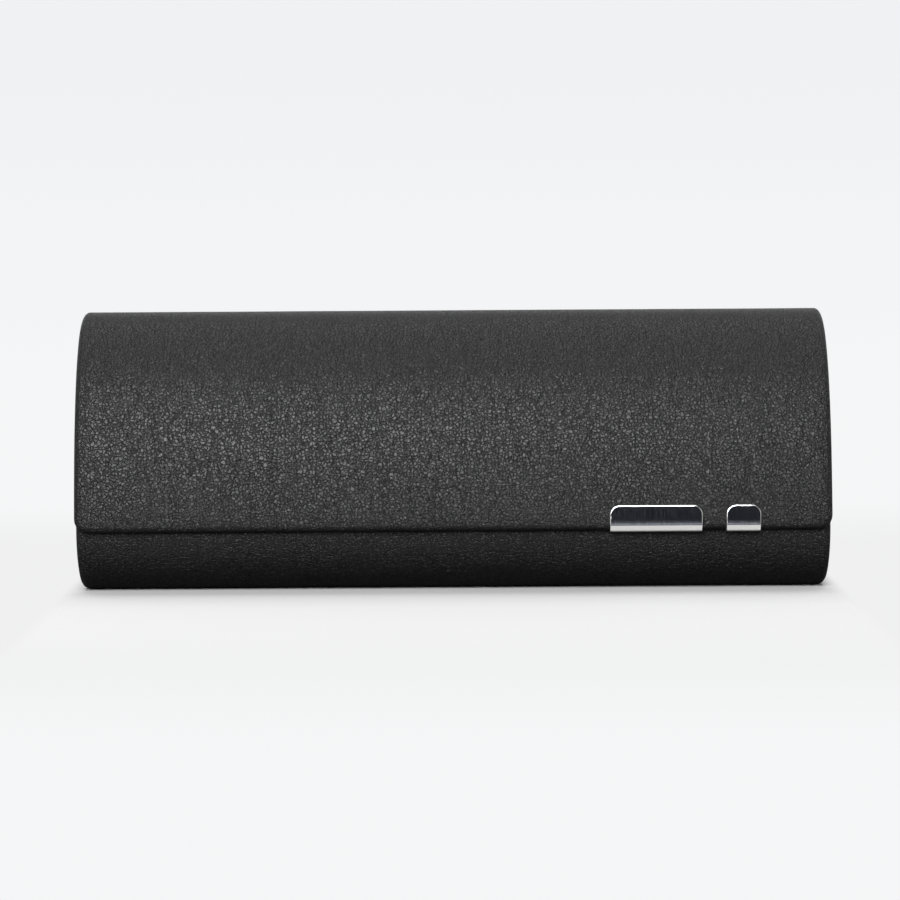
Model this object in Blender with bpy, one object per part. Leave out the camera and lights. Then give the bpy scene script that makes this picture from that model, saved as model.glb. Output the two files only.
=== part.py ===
"""Eyeglasses case with a magnetic flap: a wrapped sheet-steel trough with two end walls and a curved,
stiffened flap on a leatherette fold. Metres, +Z up, the front faces -Y, origin under the middle of the base.

Both walls are sandwiches, so the model is drawn as layers. A Profile is a line in the Y-Z plane, the outer
surface of a wall, and a layer is the band between two depths under that surface, pushed along X.
"""

import math

import bmesh
import bpy

# Overall sizes
LENGTH = 0.160
BASE_LENGTH = 0.1598
FRONT_Y = -0.0200
FLAP_EDGE_Z = 0.0134

# The flap's outer line, from its lower front edge up and over to the hinge: (radius, sweep in degrees)
FRONT_LEAN = 4.0
LOWER_FRONT = (0.150, 6.0)
MIDDLE_FRONT = (0.075, 12.0)
UPPER_FRONT = (0.036, 18.0)
CROWN = (0.016, 140.0)

# The base's outer line, from its front lip down, under and up the back to the hinge
FLAP_TO_BASE = 0.00255
LIP_SWEEP = 4.0
FRONT_CORNER_RISE = 0.0014
BACK_CORNER_RADIUS = 0.009

# Layers of the base wall, as depths under its outer surface
GLUE = 0.0001
BASE_SKIN = 0.0008
BASE_STEEL = (0.0009, 0.0013)
BASE_FOAM = (0.0014, 0.0024)
BASE_LINING = (0.0025, 0.0031)
BASE_WALL = 0.0032
LIP_MARGIN = 0.0070

# Layers of the flap
FLAP_SKIN = 0.0008
FLAP_STEEL = (0.0009, 0.0013)
FLAP_LINING = (0.0015, 0.0021)
FLAP_WALL = 0.0022
FLAP_MARGIN = 0.0060
FLAP_CORNER_RADIUS = 0.0030

# End walls: a leatherette tray with a stiff board and a lining in it
END_DEPTH_IN_TROUGH = 0.0014
END_DEPTH_UNDER_FLAP = 0.0026
END_RECESS = 0.0002
END_SKIN = 0.0009
END_BOARD = 0.0015
END_LINING = 0.0006
END_SHOULDER = 0.0012

# Hinge: a fold of leatherette, reinforcing tape and lining across the back
HINGE_Z = 0.0400
HINGE_HALF = 0.0035
HINGE_GROOVE = 0.0003
HINGE_SKIN = 0.0008
HINGE_TAPE = 0.0003
HINGE_LINING = 0.0006

# Magnets, let into the front wall behind the flap's lower edge
MAGNET_X = 0.030
MAGNET_Z = 0.0230
MAGNET_RADIUS = 0.0050
MAGNET_DEPTHS = (0.00105, 0.00225)
MAGNET_PLAY = 0.0002

# Metal clips folded round the flap's lower edge: name, middle in X, width
CLIPS = (("long_clip", 0.0427, 0.0195), ("short_clip", 0.0611, 0.0073))
CLIP_SHEET = 0.00045
CLIP_FOLD_RADIUS = 0.0014
CLIP_FOLD_DEPTH = 0.0009
CLIP_FOLD_AT = 0.00095
CLIP_PLATE = 0.00525
CLIP_LEG = 0.0042
CLIP_CORNER_RADIUS = 0.0020

ARC_STEP = 7.0
ROUND_END_SEGMENTS = 6
CORNER_SEGMENTS = 6
PIN_SEGMENTS = 32
OVERCUT = 0.002
WELD = 1e-6
SHARP_ANGLE = math.radians(35)


def clear_scene():
    for thing in list(bpy.data.objects):
        bpy.data.objects.remove(thing)


def new_collection(name):
    collection = bpy.data.collections.new(name)
    bpy.context.scene.collection.children.link(collection)
    return collection


def material(name, colour, roughness, metallic=0.0):
    made = bpy.data.materials.new(name)
    made.use_nodes = True
    shader = made.node_tree.nodes["Principled BSDF"]
    shader.inputs["Base Color"].default_value = (*colour, 1.0)
    shader.inputs["Roughness"].default_value = roughness
    shader.inputs["Metallic"].default_value = metallic
    return made


class Profile:
    """A line in the Y-Z plane made of tangent arcs and straights.

    heading is the angle of travel from +Y towards +Z. side is +1 where the outside is on the left of
    travel, and -1 where it is on the right. Steps are (length, turn), with turn in radians.
    """

    def __init__(self, start, heading, side, steps):
        self.side = side
        self.steps = []
        reached = 0.0
        point = start
        for length, turn in steps:
            self.steps.append((reached, length, turn, point, heading))
            point = self.travel(point, heading, length, turn, length)
            heading += turn
            reached += length
        self.length = reached

    @staticmethod
    def travel(point, heading, length, turn, distance):
        if turn == 0:
            return (point[0] + distance * math.cos(heading), point[1] + distance * math.sin(heading))
        radius = length / turn
        now = heading + turn * distance / length
        return (
            point[0] + radius * (math.sin(now) - math.sin(heading)),
            point[1] - radius * (math.cos(now) - math.cos(heading)),
        )

    def frame(self, station):
        """The surface point at a distance along the line, the way of travel, and the outward normal."""
        for reached, length, turn, point, heading in self.steps:
            if station <= reached + length + WELD:
                break
        distance = station - reached
        angle = heading + turn * distance / length
        along = (math.cos(angle), math.sin(angle))
        outward = (-self.side * along[1], self.side * along[0])
        return self.travel(point, heading, length, turn, distance), along, outward

    def at(self, station, depth):
        (y, z), _, (normal_y, normal_z) = self.frame(station)
        return (y - depth * normal_y, z - depth * normal_z)

    def stations(self, first, last):
        """Distances along the line from first to last, close enough together to draw its arcs."""
        found = [first]
        for reached, length, turn, _, _ in self.steps:
            pieces = max(1, math.ceil(abs(math.degrees(turn)) / ARC_STEP))
            for index in range(pieces + 1):
                station = reached + length * index / pieces
                if found[-1] + WELD < station < last - WELD:
                    found.append(station)
        return found + [last]

    def station_at_height(self, height, first, last):
        """Where between first and last the line passes a height, found by halving."""
        rises = self.at(last, 0)[1] > self.at(first, 0)[1]
        for _ in range(40):
            middle = (first + last) / 2
            if (self.at(middle, 0)[1] < height) == rises:
                first = middle
            else:
                last = middle
        return first


def arc(radius, sweep, clockwise=False):
    """A Profile step for an arc, from its radius in metres and its sweep in degrees."""
    turn = math.radians(sweep)
    return (radius * turn, -turn if clockwise else turn)


def half_round(profile, station, outer, inner, forward):
    """Points round a wall's edge, from its outer to its inner face, bulging along or against travel."""
    middle = profile.at(station, (outer + inner) / 2)
    _, along, outward = profile.frame(station)
    radius = (inner - outer) / 2
    bulge = radius if forward else -radius
    points = []
    for index in range(1, ROUND_END_SEGMENTS):
        angle = math.pi * index / ROUND_END_SEGMENTS
        over, out = bulge * math.sin(angle), radius * math.cos(angle)
        points.append((middle[0] + over * along[0] + out * outward[0],
                       middle[1] + over * along[1] + out * outward[1]))
    return points


def layer(profile, first, last, outer, inner, round_first=False):
    """The outline of the band between two depths. A round first end adds half the band's thickness."""
    stations = profile.stations(first, last)
    outline = [profile.at(station, outer) for station in stations]
    outline += [profile.at(station, inner) for station in reversed(stations)]
    if round_first:
        outline += reversed(half_round(profile, first, outer, inner, forward=False))
    return outline


def solid_from_curve(name, curve, rotation, location):
    """The mesh object that a filled, extruded 2D curve makes, with its caps welded on."""
    drawn = bpy.data.objects.new(name + "_drawn", curve)
    bpy.context.scene.collection.objects.link(drawn)
    drawn.rotation_euler = rotation
    drawn.location = location
    bpy.context.view_layer.update()
    mesh = bpy.data.meshes.new_from_object(drawn.evaluated_get(bpy.context.evaluated_depsgraph_get()))
    shape = bmesh.new()
    shape.from_mesh(mesh)
    bmesh.ops.remove_doubles(shape, verts=shape.verts, dist=WELD)
    bmesh.ops.recalc_face_normals(shape, faces=shape.faces)
    shape.to_mesh(mesh)
    shape.free()
    mesh.shade_smooth()
    mesh.set_sharp_from_angle(angle=SHARP_ANGLE)
    solid = bpy.data.objects.new(name, mesh)
    solid.matrix_world = drawn.matrix_world
    bpy.data.objects.remove(drawn)
    return solid


def flat_curve(name, outline, thickness):
    curve = bpy.data.curves.new(name, "CURVE")
    curve.dimensions = "2D"
    curve.fill_mode = "BOTH"
    curve.extrude = thickness / 2
    spline = curve.splines.new("POLY")
    spline.points.add(len(outline) - 1)
    for point, (across, up) in zip(spline.points, outline):
        point.co = (across, up, 0.0, 1.0)
    spline.use_cyclic_u = True
    return curve


def along_x(name, outline, low, high):
    """An outline in the Y-Z plane pushed along X from low to high."""
    curve = flat_curve(name, outline, high - low)
    quarter = math.pi / 2
    return solid_from_curve(name, curve, (quarter, 0.0, quarter), ((low + high) / 2, 0.0, 0.0))


def along_y(name, outline, low, high):
    """An outline in the X-Z plane pushed along Y from low to high."""
    curve = flat_curve(name, outline, high - low)
    return solid_from_curve(name, curve, (math.pi / 2, 0.0, 0.0), (0.0, (low + high) / 2, 0.0))


def add_part(solid, look, parts):
    solid.data.materials.clear()
    solid.data.materials.append(look)
    parts.objects.link(solid)
    return solid


def add_cutter(solid, cutters):
    solid.hide_render = True
    solid.display_type = "WIRE"
    cutters.objects.link(solid)
    return solid


def cut(target, *tools):
    for tool in tools:
        boolean = target.modifiers.new("cut_" + tool.name, "BOOLEAN")
        boolean.operation = "DIFFERENCE"
        boolean.object = tool


def corner_waste(x_edge, z_edge, radius, inset, up, depth_range):
    """What a rounded corner removes. up is +1 for a top corner and -1 for a bottom one."""
    side = math.copysign(1.0, x_edge[1])
    centre_x = x_edge[0] - side * radius
    centre_z = z_edge - up * radius
    kept = radius - inset
    far_x = x_edge[0] + side * OVERCUT
    far_z = z_edge + up * OVERCUT
    outline = []
    for index in range(CORNER_SEGMENTS + 1):
        angle = math.pi / 2 * index / CORNER_SEGMENTS
        outline.append((centre_x + side * kept * math.sin(angle), centre_z + up * kept * math.cos(angle)))
    outline += [(far_x, centre_z), (far_x, far_z), (centre_x, far_z)]
    return outline, depth_range


def flap_profile():
    steps = [arc(radius, sweep, clockwise=True) for radius, sweep in
             (LOWER_FRONT, MIDDLE_FRONT, UPPER_FRONT, CROWN)]
    return Profile((FRONT_Y, FLAP_EDGE_Z), math.radians(90.0 - FRONT_LEAN), 1, steps)


def base_profile(flap):
    """The front wall runs parallel to the flap, then turns under, and ends at the fold in the back."""
    lip_station = arc(*LOWER_FRONT)[0] + arc(MIDDLE_FRONT[0], LIP_SWEEP)[0]
    lip = flap.at(lip_station, FLAP_TO_BASE)
    lip_lean = FRONT_LEAN + LOWER_FRONT[1] + LIP_SWEEP
    wall_foot = flap.at(FRONT_CORNER_RISE, FLAP_TO_BASE)
    foot_rise = math.degrees(FRONT_CORNER_RISE / LOWER_FRONT[0])
    foot_lean = math.radians(FRONT_LEAN + foot_rise)
    front_corner_radius = wall_foot[1] / (1.0 + math.sin(foot_lean))
    floor_start = wall_foot[0] + front_corner_radius * math.cos(foot_lean)
    back_y = flap.at(flap.length, 0.0)[0]
    steps = [
        arc(MIDDLE_FRONT[0] - FLAP_TO_BASE, LIP_SWEEP),
        arc(LOWER_FRONT[0] - FLAP_TO_BASE, LOWER_FRONT[1] - foot_rise),
        arc(front_corner_radius, 90.0 + FRONT_LEAN + foot_rise),
        (back_y - BACK_CORNER_RADIUS - floor_start, 0.0),
        arc(BACK_CORNER_RADIUS, 90.0),
        (HINGE_Z - HINGE_HALF - BACK_CORNER_RADIUS, 0.0),
    ]
    return Profile(lip, math.radians(-90.0 - lip_lean), -1, steps)


def end_outline(base, flap, inset):
    """The end wall's outline: inside the trough below, and under the closed flap above."""
    in_trough = END_DEPTH_IN_TROUGH + inset
    under_flap = END_DEPTH_UNDER_FLAP + inset
    lip_height = base.at(0.0, 0.0)[1]
    shoulder = flap.station_at_height(lip_height + END_SHOULDER, 0.0, flap.length / 2)
    lower = [base.at(station, in_trough) for station in base.stations(0.0, base.length)]
    upper = [flap.at(station, under_flap) for station in flap.stations(shoulder, flap.length)]
    return lower + upper[::-1]


def make_base(base, looks, parts, cutters):
    half = BASE_LENGTH / 2
    end_face = half - END_RECESS
    inner_end = end_face - END_SKIN - END_BOARD - END_LINING - 2 * GLUE
    lip_top = BASE_WALL / 2
    under_cap = BASE_SKIN + GLUE

    skin = add_part(
        along_x("base_skin", layer(base, lip_top, base.length, 0.0, BASE_WALL, round_first=True), -half, half),
        looks["leatherette"], parts)
    past_end = [
        (BASE_SKIN, BASE_LINING[0] - GLUE / 2, BASE_SKIN, half - BASE_SKIN, "base_pocket"),
        (BASE_FOAM[1], BASE_WALL + OVERCUT, LIP_MARGIN, half - BASE_SKIN, "base_window"),
    ]
    for outer, inner, first, reach, name in past_end:
        outline = layer(base, first, base.length, outer, inner)
        stretch_end(outline, base, outer, inner)
        cut(skin, add_cutter(along_x(name, outline, -reach, reach), cutters))
    end_space = layer(base, 0.0, base.length, BASE_STEEL[1], BASE_WALL + OVERCUT)
    stretch_end(end_space, base, BASE_STEEL[1], BASE_WALL + OVERCUT)
    raise_start(end_space, base, BASE_STEEL[1], BASE_WALL + OVERCUT)
    for side, name in ((-1, "end_space_left"), (1, "end_space_right")):
        low, high = sorted((side * (inner_end - GLUE), side * (half + OVERCUT)))
        cut(skin, add_cutter(along_x(name, end_space, low, high), cutters))

    steel = add_part(
        along_x("base_shell", layer(base, under_cap, base.length, *BASE_STEEL),
                -half + under_cap, half - under_cap),
        looks["steel"], parts)
    foam = add_part(
        along_x("base_foam", layer(base, under_cap + GLUE, base.length, *BASE_FOAM),
                -inner_end + GLUE, inner_end - GLUE),
        looks["foam"], parts)
    add_part(
        along_x("base_lining", layer(base, LIP_MARGIN + GLUE, base.length, *BASE_LINING),
                -inner_end + GLUE, inner_end - GLUE),
        looks["lining"], parts)
    for side, name in ((-1, "left"), (1, "right")):
        magnet, hole = make_magnet(name, side, base)
        add_part(magnet, looks["magnet"], parts)
        add_cutter(hole, cutters)
        cut(steel, hole)
        cut(foam, hole)


def stretch_end(outline, profile, outer, inner):
    """Moves a cutter's last edge past the wall's last edge, so that it cuts through."""
    for depth in (outer, inner):
        index = outline.index(profile.at(profile.length, depth))
        _, along, _ = profile.frame(profile.length)
        outline[index] = (outline[index][0] + OVERCUT * along[0], outline[index][1] + OVERCUT * along[1])


def raise_start(outline, profile, outer, inner):
    """Moves a cutter's first edge back past the wall's first edge."""
    for depth in (outer, inner):
        index = outline.index(profile.at(0.0, depth))
        _, along, _ = profile.frame(0.0)
        outline[index] = (outline[index][0] - OVERCUT * along[0], outline[index][1] - OVERCUT * along[1])


def disc(name, radius, outer, inner, station, profile, x):
    """A short round bar between two depths, square to the wall."""
    bpy.ops.mesh.primitive_cylinder_add(vertices=PIN_SEGMENTS, radius=radius, depth=inner - outer)
    made = bpy.context.object
    made.name = name
    y, z = profile.at(station, (outer + inner) / 2)
    _, _, outward = profile.frame(station)
    made.location = (x, y, z)
    made.rotation_euler = (math.atan2(-outward[0], outward[1]), 0.0, 0.0)
    made.users_collection[0].objects.unlink(made)
    made.data.shade_smooth()
    made.data.set_sharp_from_angle(angle=SHARP_ANGLE)
    return made


def make_magnet(name, side, base):
    station = base.station_at_height(MAGNET_Z, 0.0, base.length / 4)
    x = side * MAGNET_X
    magnet = disc("magnet_" + name, MAGNET_RADIUS, *MAGNET_DEPTHS, station, base, x)
    outer, inner = BASE_SKIN - OVERCUT, BASE_WALL + OVERCUT
    hole = disc("magnet_hole_" + name, MAGNET_RADIUS + MAGNET_PLAY, outer, inner, station, base, x)
    return magnet, hole


def make_ends(base, flap, looks, parts, cutters):
    """Each end wall is a tray of leatherette, open to the inside, with the board and the lining in it."""
    face = BASE_LENGTH / 2 - END_RECESS
    depth = END_SKIN + END_BOARD + END_LINING + 2 * GLUE
    for side, name in ((-1, "left"), (1, "right")):
        def between(near, far):
            return sorted((side * (face - near), side * (face - far)))

        tray = along_x("end_skin_" + name, end_outline(base, flap, 0.0), *between(0.0, depth))
        add_part(tray, looks["leatherette"], parts)
        hollow = along_x("end_hollow_" + name, end_outline(base, flap, END_SKIN),
                         *between(END_SKIN, depth + OVERCUT))
        cut(tray, add_cutter(hollow, cutters))
        fitted = end_outline(base, flap, END_SKIN + GLUE)
        board_at = END_SKIN + GLUE
        lining_at = board_at + END_BOARD + GLUE
        add_part(along_x("end_board_" + name, fitted, *between(board_at, board_at + END_BOARD)),
                 looks["board"], parts)
        add_part(along_x("end_lining_" + name, fitted, *between(lining_at, lining_at + END_LINING)),
                 looks["lining"], parts)


def make_hinge(flap, looks, parts):
    """The fold is three flat strips up the back, one behind another."""
    back_y = flap.at(flap.length, 0.0)[0]
    low, high = HINGE_Z - HINGE_HALF + GLUE, HINGE_Z + HINGE_HALF - GLUE
    inner_half = BASE_LENGTH / 2 - END_RECESS - END_SKIN - END_BOARD - END_LINING - 4 * GLUE
    strips = (
        ("hinge_skin", HINGE_SKIN, BASE_LENGTH / 2, "leatherette"),
        ("hinge_tape", HINGE_TAPE, inner_half, "tape"),
        ("hinge_lining", HINGE_LINING, inner_half, "lining"),
    )
    surface = back_y - HINGE_GROOVE
    for name, thickness, half, look in strips:
        outline = [(surface, low), (surface, high), (surface - thickness, high), (surface - thickness, low)]
        add_part(along_x(name, outline, -half, half), looks[look], parts)
        surface -= thickness + GLUE


def flap_corners(inset, name, cutters):
    """Two cutters that round the flap's lower corners, drawn in front view."""
    made = []
    depth_range = (FRONT_Y - OVERCUT, FRONT_Y + FLAP_WALL + 2 * OVERCUT)
    for side, label in ((-1, "left"), (1, "right")):
        outline, (low, high) = corner_waste((side * LENGTH / 2, side), FLAP_EDGE_Z, FLAP_CORNER_RADIUS,
                                            inset, -1, depth_range)
        made.append(add_cutter(along_y(f"{name}_{label}", outline, low, high), cutters))
    return made


def make_flap(flap, clip_seats, looks, parts, cutters):
    half = LENGTH / 2
    edge = FLAP_WALL / 2
    skin = along_x("flap_skin", layer(flap, edge, flap.length, 0.0, FLAP_WALL, round_first=True), -half, half)
    add_part(skin, looks["leatherette"], parts)
    pocket_outline = layer(flap, FLAP_SKIN, flap.length, FLAP_SKIN, FLAP_LINING[0])
    stretch_end(pocket_outline, flap, FLAP_SKIN, FLAP_LINING[0])
    pocket = add_cutter(along_x("flap_pocket", pocket_outline, -half + FLAP_SKIN, half - FLAP_SKIN), cutters)
    cut(pocket, *flap_corners(FLAP_SKIN, "pocket_corner", cutters))
    window_outline = layer(flap, FLAP_MARGIN, flap.length, FLAP_STEEL[1], FLAP_WALL + OVERCUT)
    stretch_end(window_outline, flap, FLAP_STEEL[1], FLAP_WALL + OVERCUT)
    window_half = half - FLAP_MARGIN
    window = add_cutter(along_x("flap_window", window_outline, -window_half, window_half), cutters)
    cut(skin, *clip_seats, *flap_corners(0.0, "flap_corner", cutters), pocket, window)

    inset = FLAP_SKIN + GLUE
    steel = along_x("flap_shell", layer(flap, inset, flap.length, *FLAP_STEEL), -half + inset, half - inset)
    add_part(steel, looks["steel"], parts)
    cut(steel, *flap_corners(inset, "steel_corner", cutters))
    lining_half = window_half - GLUE
    lining = layer(flap, FLAP_MARGIN + GLUE, flap.length, *FLAP_LINING)
    add_part(along_x("flap_lining", lining, -lining_half, lining_half), looks["lining"], parts)


def hairpin(flap, sheet_inner, sheet_outer, plate, leg):
    """A sheet folded round the flap's lower edge, between two distances from the middle of its fold."""
    def side(depth, top):
        stations = [CLIP_FOLD_AT] + [s for s in flap.stations(0.0, flap.length) if CLIP_FOLD_AT < s < top] + [top]
        return [flap.at(station, depth) for station in stations]

    front = side(CLIP_FOLD_DEPTH - sheet_outer, plate)
    leg_out = side(CLIP_FOLD_DEPTH + sheet_outer, leg)
    leg_in = side(CLIP_FOLD_DEPTH + sheet_inner, leg)
    front_in = side(CLIP_FOLD_DEPTH - sheet_inner, plate)
    bend_out = half_round(flap, CLIP_FOLD_AT, CLIP_FOLD_DEPTH - sheet_outer, CLIP_FOLD_DEPTH + sheet_outer, False)
    bend_in = half_round(flap, CLIP_FOLD_AT, CLIP_FOLD_DEPTH - sheet_inner, CLIP_FOLD_DEPTH + sheet_inner, False)
    return front[::-1] + bend_out + leg_out + leg_in[::-1] + bend_in[::-1] + front_in


def make_clips(flap, looks, parts, cutters):
    """The clips, and the cutters that make room for them in the flap's edge."""
    seats = []
    inside = CLIP_FOLD_RADIUS - CLIP_SHEET
    for name, middle, width in CLIPS:
        low, high = middle - width / 2, middle + width / 2
        outline = hairpin(flap, inside, CLIP_FOLD_RADIUS, CLIP_PLATE, CLIP_LEG)
        clip = add_part(along_x(name, outline, low, high), looks["chrome"], parts)
        plate_top = flap.at(CLIP_PLATE, 0.0)[1]
        depth_range = (FRONT_Y - OVERCUT, FRONT_Y + FLAP_WALL / 4)
        for side, edge in ((-1, low), (1, high)):
            corner, (near, far) = corner_waste((edge, side), plate_top, CLIP_CORNER_RADIUS, 0.0, 1, depth_range)
            cut(clip, add_cutter(along_y(f"{name}_corner_{side}", corner, near, far), cutters))
        seat = hairpin(flap, inside - GLUE, CLIP_FOLD_RADIUS + OVERCUT, CLIP_PLATE + GLUE, CLIP_LEG + GLUE)
        seats.append(add_cutter(along_x(name + "_seat", seat, low - GLUE, high + GLUE), cutters))
    return seats


def main():
    clear_scene()
    parts = new_collection("eyeglasses_case")
    cutters = new_collection("cutters")
    looks = {
        "leatherette": material("leatherette", (0.020, 0.020, 0.021), 0.55),
        "lining": material("lining", (0.016, 0.016, 0.018), 0.95),
        "foam": material("foam", (0.55, 0.55, 0.52), 0.9),
        "steel": material("steel", (0.56, 0.57, 0.58), 0.35, 1.0),
        "board": material("board", (0.32, 0.25, 0.17), 0.85),
        "magnet": material("magnet", (0.72, 0.72, 0.74), 0.25, 1.0),
        "tape": material("tape", (0.62, 0.58, 0.50), 0.9),
        "chrome": material("chrome", (0.80, 0.80, 0.81), 0.15, 1.0),
    }
    flap = flap_profile()
    base = base_profile(flap)
    make_base(base, looks, parts, cutters)
    make_ends(base, flap, looks, parts, cutters)
    make_hinge(flap, looks, parts)
    seats = make_clips(flap, looks, parts, cutters)
    make_flap(flap, seats, looks, parts, cutters)


main()
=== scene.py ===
"""Looks of a magnetic-flap eyeglasses case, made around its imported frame. Metres, +Z up, the front faces -Y.

Every wall of the case is a layered sandwich that follows a line in the Y-Z plane, so a piece is a Panel: a
rectangle drawn flat, (x, distance along the line), which is then laid on its line at a given depth under the
case's outer surface. The flat coordinates are also the texture coordinates, in metres, so that one sheet's
grain runs on across the base, the fold and the flap.
"""

import math

import bmesh
import bpy
from mathutils import Matrix, Vector, noise

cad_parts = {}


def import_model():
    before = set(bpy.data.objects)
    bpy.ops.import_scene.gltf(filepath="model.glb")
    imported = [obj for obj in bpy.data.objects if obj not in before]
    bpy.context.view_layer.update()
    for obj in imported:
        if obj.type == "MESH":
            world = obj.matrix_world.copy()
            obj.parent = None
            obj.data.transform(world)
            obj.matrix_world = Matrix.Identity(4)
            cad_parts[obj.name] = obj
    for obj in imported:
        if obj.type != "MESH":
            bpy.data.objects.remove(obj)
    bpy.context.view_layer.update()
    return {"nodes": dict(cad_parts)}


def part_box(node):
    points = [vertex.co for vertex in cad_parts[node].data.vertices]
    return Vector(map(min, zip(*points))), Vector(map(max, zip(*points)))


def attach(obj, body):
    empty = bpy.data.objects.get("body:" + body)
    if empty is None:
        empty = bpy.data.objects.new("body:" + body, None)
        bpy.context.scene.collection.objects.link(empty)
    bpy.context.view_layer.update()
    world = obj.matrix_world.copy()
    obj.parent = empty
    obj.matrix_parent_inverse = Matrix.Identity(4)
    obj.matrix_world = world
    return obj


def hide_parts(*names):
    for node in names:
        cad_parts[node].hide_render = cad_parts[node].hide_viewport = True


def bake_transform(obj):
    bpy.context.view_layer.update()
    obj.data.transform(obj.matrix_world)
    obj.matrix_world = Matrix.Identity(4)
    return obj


# The outer lines, as the frame has them: (radius, sweep in degrees) for each arc
FRONT_Y = -0.0200
FLAP_EDGE_Z = 0.0134
FRONT_LEAN = 4.0
LOWER_FRONT = (0.150, 6.0)
MIDDLE_FRONT = (0.075, 12.0)
UPPER_FRONT = (0.036, 18.0)
CROWN = (0.016, 140.0)
FLAP_TO_BASE = 0.00255
LIP_SWEEP = 4.0
FRONT_CORNER_RISE = 0.0014
BACK_CORNER_RADIUS = 0.009
HINGE_Z = 0.0400
HINGE_HALF = 0.0035

# The layers, as depths under the outer surface
SKIN = 0.0008
STEEL_BACK = 0.0013
BASE_WALL = 0.0032
FLAP_WALL = 0.0022
BASE_FOAM = (0.0014, 0.0024)
BASE_LINING = (0.0025, 0.0031)
FLAP_LINING = (0.0015, 0.0021)
HINGE_TAPE = (0.0012, 0.0015)
LIP_MARGIN = 0.0070
FLAP_MARGIN = 0.0060
GLUE = 0.0001

WELD = 1e-6
OVERCUT = 0.002
SMOOTH_ANGLE = math.radians(38)


class Line:
    """A line in the Y-Z plane made of tangent arcs and straights, which a layer of the case follows.

    heading is the angle of travel from +Y towards +Z. side is +1 where the outside is on the left of
    travel, and -1 where it is on the right. Steps are (length, turn), with turn in radians.
    """

    def __init__(self, start, heading, side, steps):
        self.side = side
        self.steps = []
        reached = 0.0
        point = start
        for length, turn in steps:
            self.steps.append((reached, length, turn, point, heading))
            point = self.travel(point, heading, length, turn, length)
            heading += turn
            reached += length
        self.length = reached

    @staticmethod
    def travel(point, heading, length, turn, distance):
        if turn == 0:
            return (point[0] + distance * math.cos(heading), point[1] + distance * math.sin(heading))
        radius = length / turn
        now = heading + turn * distance / length
        return (
            point[0] + radius * (math.sin(now) - math.sin(heading)),
            point[1] - radius * (math.cos(now) - math.cos(heading)),
        )

    def at(self, station, depth):
        """The point (y, z) at a distance along the line and a depth under it."""
        for reached, length, turn, point, heading in self.steps:
            if station <= reached + length + WELD:
                break
        distance = station - reached
        angle = heading + turn * distance / length
        y, z = self.travel(point, heading, length, turn, distance)
        return (y + depth * self.side * math.sin(angle), z - depth * self.side * math.cos(angle))

    def station_at_height(self, height, first, last):
        """Where between first and last the line passes a height, found by halving."""
        rises = self.at(last, 0)[1] > self.at(first, 0)[1]
        for _ in range(40):
            middle = (first + last) / 2
            if (self.at(middle, 0)[1] < height) == rises:
                first = middle
            else:
                last = middle
        return first


def arc(radius, sweep, clockwise=False):
    turn = math.radians(sweep)
    return (radius * turn, -turn if clockwise else turn)


def spread(first, last, step, through=()):
    """Values from first to last no further apart than step, among them those of through."""
    stops = [first] + sorted(v for v in through if first + WELD < v < last - WELD) + [last]
    values = [first]
    for low, high in zip(stops, stops[1:]):
        count = max(1, math.ceil((high - low) / step - 1e-6))
        values += [low + (high - low) * k / count for k in range(1, count + 1)]
    return values


def smooth_step(value, low, high):
    t = min(max((value - low) / (high - low), 0.0), 1.0)
    return t * t * (3 - 2 * t)


def flap_line():
    steps = [arc(radius, sweep, clockwise=True) for radius, sweep in
             (LOWER_FRONT, MIDDLE_FRONT, UPPER_FRONT, CROWN)]
    return Line((FRONT_Y, FLAP_EDGE_Z), math.radians(90.0 - FRONT_LEAN), 1, steps)


def base_line(flap):
    """From the front lip, down parallel to the flap, under, and up the back to the fold."""
    lip = flap.at(arc(*LOWER_FRONT)[0] + arc(MIDDLE_FRONT[0], LIP_SWEEP)[0], FLAP_TO_BASE)
    foot = flap.at(FRONT_CORNER_RISE, FLAP_TO_BASE)
    foot_rise = math.degrees(FRONT_CORNER_RISE / LOWER_FRONT[0])
    foot_lean = math.radians(FRONT_LEAN + foot_rise)
    corner_radius = foot[1] / (1.0 + math.sin(foot_lean))
    floor_start = foot[0] + corner_radius * math.cos(foot_lean)
    back_y = flap.at(flap.length, 0.0)[0]
    steps = [
        arc(MIDDLE_FRONT[0] - FLAP_TO_BASE, LIP_SWEEP),
        arc(LOWER_FRONT[0] - FLAP_TO_BASE, LOWER_FRONT[1] - foot_rise),
        arc(corner_radius, 90.0 + FRONT_LEAN + foot_rise),
        (back_y - BACK_CORNER_RADIUS - floor_start, 0.0),
        arc(BACK_CORNER_RADIUS, 90.0),
        (HINGE_Z - HINGE_HALF - BACK_CORNER_RADIUS, 0.0),
    ]
    return Line(lip, math.radians(-90.0 - FRONT_LEAN - LOWER_FRONT[1] - LIP_SWEEP), -1, steps)


def back_line(flap, reach):
    """Up the back across the fold, from reach below it on the base to reach above it on the flap."""
    back_y = flap.at(flap.length, 0.0)[0]
    start = (back_y, HINGE_Z - HINGE_HALF - reach)
    steps = [(reach + 2 * HINGE_HALF, 0.0), (reach, reach / CROWN[0])]
    return Line(start, math.radians(90.0), -1, steps)


# ---------------------------------------------------------------- meshes


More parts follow.
